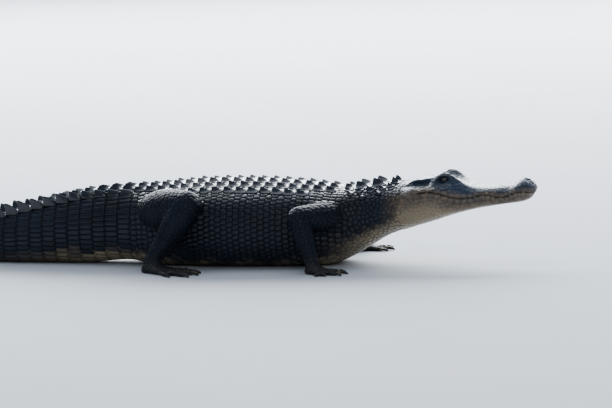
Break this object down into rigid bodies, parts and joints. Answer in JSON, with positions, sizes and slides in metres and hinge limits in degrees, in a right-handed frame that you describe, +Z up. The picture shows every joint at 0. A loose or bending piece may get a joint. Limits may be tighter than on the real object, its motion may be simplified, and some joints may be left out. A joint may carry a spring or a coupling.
{
  "type": "american alligator",
  "caption": "Life-size still model of an American alligator lying on its belly, head level and mouth shut, legs bent at its sides and tail swept to its left.",
  "frame": {"origin": "on the ground, under the middle of the whole animal's box", "axes": "+X towards the snout, +Y towards the animal's left side, +Z up"},
  "size_m": [2.1948, 0.6236, 0.2384],
  "materials": {
    "head_hide": "wet slate-grey head skin over bone, fine cracked scales, satin to glossy",
    "jaw_hide": "wet tan-grey lip and jaw scales, paler and yellower towards the throat",
    "back_hide": "wet blue-black keeled plates and scales, glossy where the light strikes their tops",
    "leg_hide": "wet dark slate round scales on loose skin, satin to glossy",
    "eye": "wet glossy eyeball with an olive-silver iris and a dark upright slit pupil",
    "claw": "dark brown-black horn, satin",
    "tooth": "ivory enamel, satin"
  },
  "bodies": {
    "root": {"head": "head_hide", "lower_jaw": "jaw_hide", "eye_left": "eye", "eye_right": "eye", "neck": "back_hide", "torso": "back_hide", "tail_base": "back_hide", "tail_middle": "back_hide", "tail_tip": "back_hide", "upper_arm_left": "leg_hide", "forearm_left": "leg_hide", "hand_left": "leg_hide", "upper_arm_right": "leg_hide", "forearm_right": "leg_hide", "hand_right": "leg_hide", "thigh_left": "leg_hide", "shank_left": "leg_hide", "foot_left": "leg_hide", "thigh_right": "leg_hide", "shank_right": "leg_hide", "foot_right": "leg_hide"}
  },
  "joints": []
}
